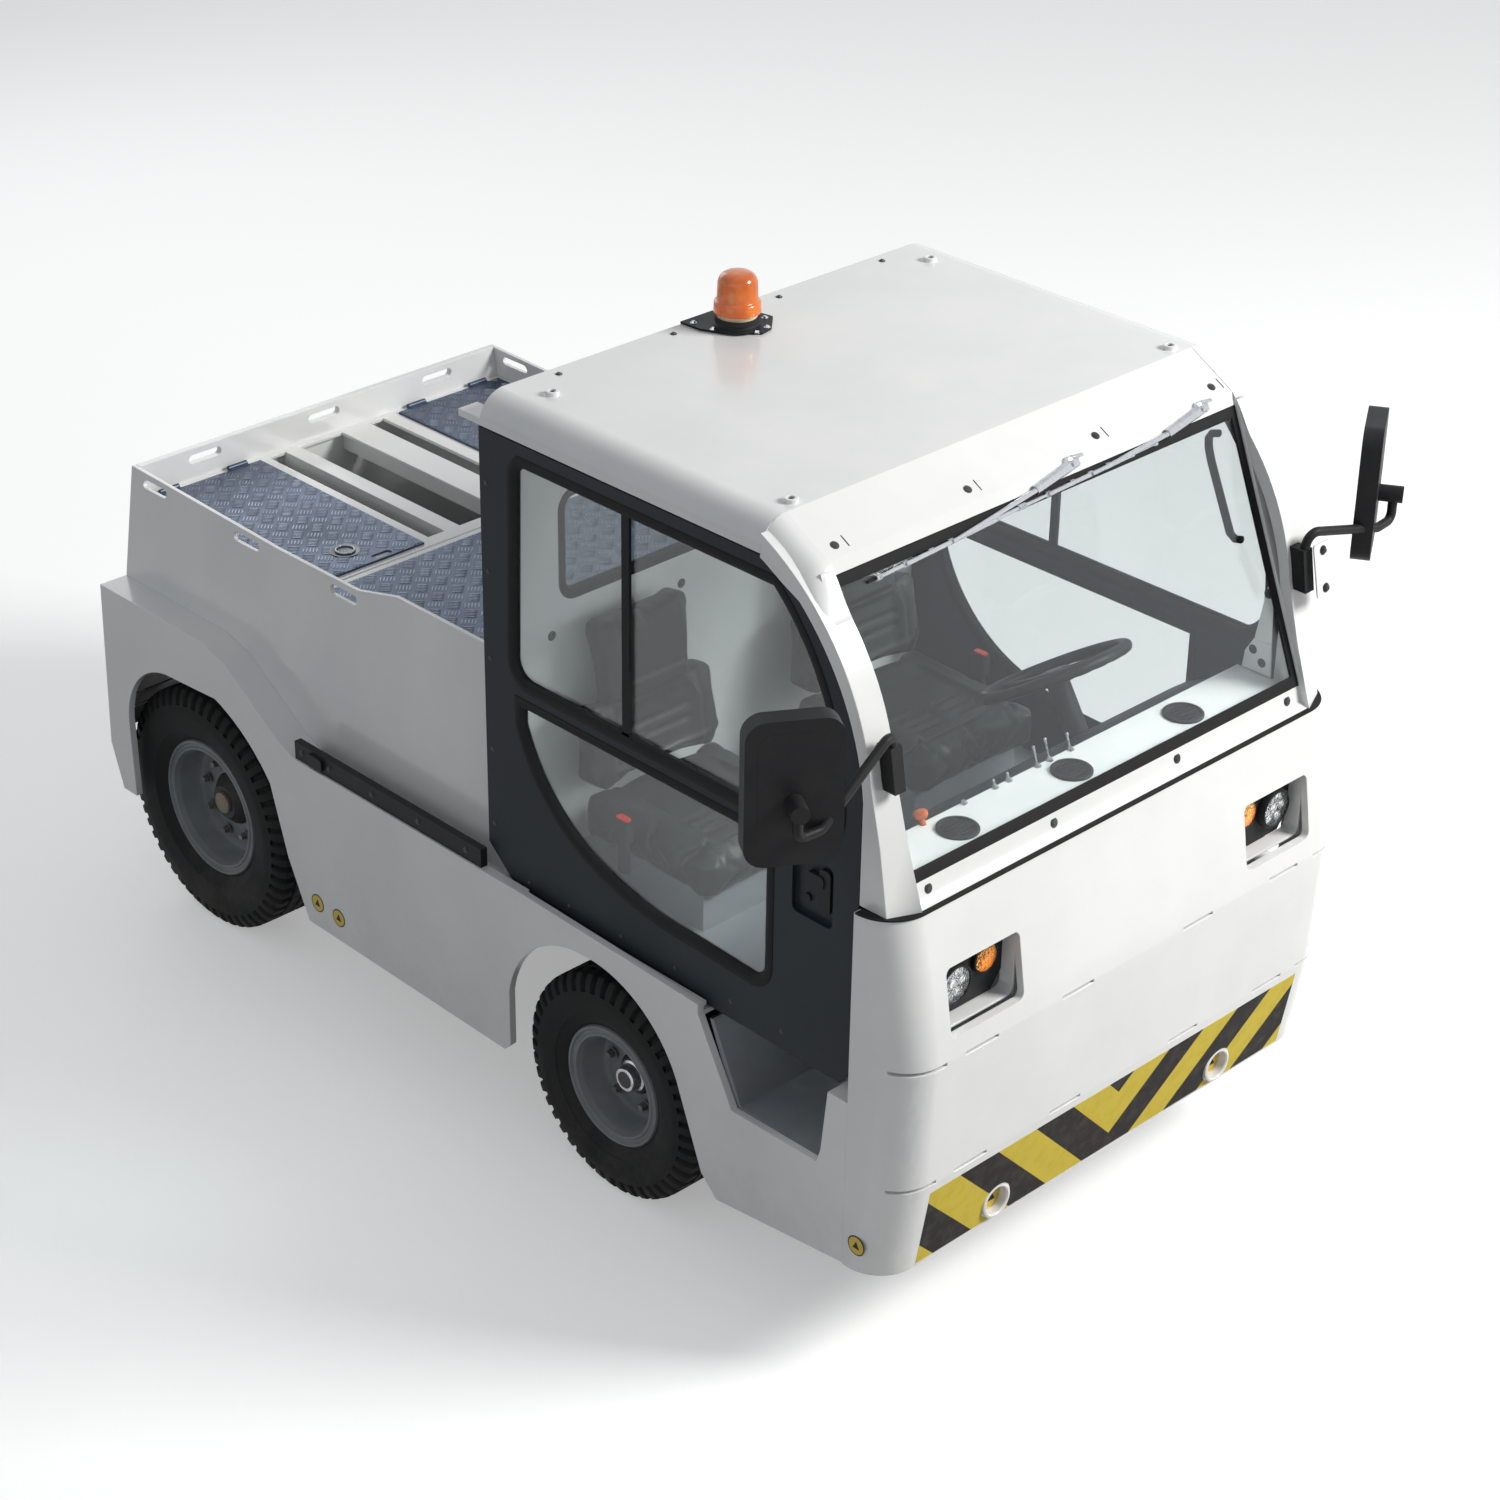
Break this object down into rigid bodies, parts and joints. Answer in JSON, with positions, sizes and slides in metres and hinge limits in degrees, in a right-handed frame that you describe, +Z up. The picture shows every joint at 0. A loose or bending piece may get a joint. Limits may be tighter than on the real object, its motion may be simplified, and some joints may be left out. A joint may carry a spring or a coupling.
{
  "type": "airport baggage tug",
  "caption": "Battery baggage tow tractor with a closed cab, sliding doors, chequer-plate rear deck with hatches, and a stepped towing jaw with a lift-out pin.",
  "frame": {"origin": "on the floor under the middle of the overall box", "axes": "+Z up, the nose points to -Y, the vehicle's left side is +X"},
  "size_m": [2.0786, 3.01, 2.092],
  "materials": {
    "body_white": "gloss white two-pack paint",
    "door_grey": "dark anthracite satin paint",
    "frame_paint": "satin black chassis paint",
    "floor_paint": "grey floor plate",
    "dark_case": "painted battery case",
    "axle_iron": "black painted casting",
    "hitch_steel": "worn steel",
    "chequer_plate": "bare raised-tread plate",
    "rim_grey": "grey painted steel",
    "tyre": "moulded black rubber",
    "black_plastic": "grained black",
    "dash_plastic": "grained dark grey",
    "seat_vinyl": "ribbed black vinyl",
    "window_glass": "clear tinted safety glass",
    "lamp_clear": "clear lens",
    "lamp_amber": "amber lens",
    "lamp_red": "red lens",
    "beacon_base": "black moulding"
  },
  "bodies": {
    "root": {"chassis_frame": "frame_paint", "battery_pack": "dark_case", "front_axle": "axle_iron", "rear_axle": "axle_iron", "body_side_right": "body_white", "body_side_left": "body_white", "side_wall_right": "body_white", "side_wall_left": "body_white", "nose_panel": "body_white", "headlamps": "lamp_clear", "indicators": "lamp_amber", "rear_panel": "body_white", "rear_lamps": "lamp_red", "tow_hitch": "hitch_steel", "deck_frame": "body_white", "cab_floor": "floor_paint", "seat_cushions": "seat_vinyl", "seat_backs": "seat_vinyl", "cab_rear_wall": "body_white", "rear_window": "window_glass", "cab_roof": "body_white", "cab_front_frame": "body_white", "windscreen": "window_glass", "wipers": "black_plastic", "dashboard": "dash_plastic", "door_rails": "black_plastic", "mirrors": "black_plastic", "beacon_base": "beacon_base", "beacon_lens": "lamp_amber"},
    "door_leaf_right": {"door_right": "door_grey", "door_glass_right": "window_glass"},
    "deck_hatch_right": {"deck_hatch_right": "chequer_plate"},
    "knuckle_right": {"knuckle_right": "axle_iron"},
    "wheel_front_right": {"tyre_front_right": "tyre", "rim_front_right": "rim_grey"},
    "wheel_rear_right": {"tyre_rear_right": "tyre", "rim_rear_right": "rim_grey"},
    "door_leaf_left": {"door_left": "door_grey", "door_glass_left": "window_glass"},
    "deck_hatch_left": {"deck_hatch_left": "chequer_plate"},
    "knuckle_left": {"knuckle_left": "axle_iron"},
    "wheel_front_left": {"tyre_front_left": "tyre", "rim_front_left": "rim_grey"},
    "wheel_rear_left": {"tyre_rear_left": "tyre", "rim_rear_left": "rim_grey"},
    "bay_cover": {"bay_cover": "chequer_plate"},
    "tie_rod": {"tie_rod": "axle_iron"},
    "steering_wheel": {"steering_wheel": "black_plastic"},
    "hitch_pin": {"hitch_pin": "hitch_steel"}
  },
  "joints": [
    {"name": "door_slide_right", "type": "slide", "parent": "root", "child": "door_leaf_right", "axis": [0, 1, 0], "range_m": [0, 0.68]},
    {"name": "door_slide_left", "type": "slide", "parent": "root", "child": "door_leaf_left", "axis": [0, 1, 0], "range_m": [0, 0.68]},
    {"name": "bay_cover_hinge", "type": "hinge", "parent": "root", "child": "bay_cover", "pos_m": [0, -0.117, 1.148], "axis": [1, 0, 0], "range_deg": [0, 75]},
    {"name": "deck_hatch_hinge_right", "type": "hinge", "parent": "root", "child": "deck_hatch_right", "pos_m": [-0.42, 1.401, 1.148], "axis": [-1, 0, 0], "range_deg": [0, 80]},
    {"name": "deck_hatch_hinge_left", "type": "hinge", "parent": "root", "child": "deck_hatch_left", "pos_m": [0.42, 1.401, 1.148], "axis": [-1, 0, 0], "range_deg": [0, 80]},
    {"name": "steer_left", "type": "hinge", "parent": "root", "child": "knuckle_left", "pos_m": [0.5, -0.519, 0.292], "axis": [0, 0, 1], "range_deg": [-35, 35]},
    {"name": "steer_right", "type": "hinge", "parent": "root", "child": "knuckle_right", "pos_m": [-0.5, -0.519, 0.292], "axis": [0, 0, 1], "range_deg": [-35, 35]},
    {"name": "tie_rod_swing", "type": "hinge", "parent": "knuckle_left", "child": "tie_rod", "pos_m": [0.5, -0.369, 0.322], "axis": [0, 0, 1], "range_deg": [-35, 35]},
    {"name": "steering_wheel_turn", "type": "hinge", "parent": "root", "child": "steering_wheel", "pos_m": [0.3, -0.959, 1.219], "axis": [0, 0.5299, 0.848], "range_deg": [-350, 350]},
    {"name": "wheel_front_spin_right", "type": "hinge", "parent": "knuckle_right", "child": "wheel_front_right", "pos_m": [-0.625, -0.519, 0.292], "axis": [1, 0, 0], "continuous": true},
    {"name": "wheel_rear_spin_right", "type": "hinge", "parent": "root", "child": "wheel_rear_right", "pos_m": [-0.6, 1.117, 0.344], "axis": [1, 0, 0], "continuous": true},
    {"name": "wheel_front_spin_left", "type": "hinge", "parent": "knuckle_left", "child": "wheel_front_left", "pos_m": [0.625, -0.519, 0.292], "axis": [1, 0, 0], "continuous": true},
    {"name": "wheel_rear_spin_left", "type": "hinge", "parent": "root", "child": "wheel_rear_left", "pos_m": [0.6, 1.117, 0.344], "axis": [1, 0, 0], "continuous": true},
    {"name": "hitch_pin_lift", "type": "slide", "parent": "root", "child": "hitch_pin", "axis": [0, 0, 1], "range_m": [0, 0.25]}
  ],
  "couplings": [
    {"joint": "steer_right", "follows": "steer_left", "ratio": 1},
    {"joint": "tie_rod_swing", "follows": "steer_left", "ratio": -1},
    {"joint": "steering_wheel_turn", "follows": "steer_left", "ratio": 10}
  ]
}
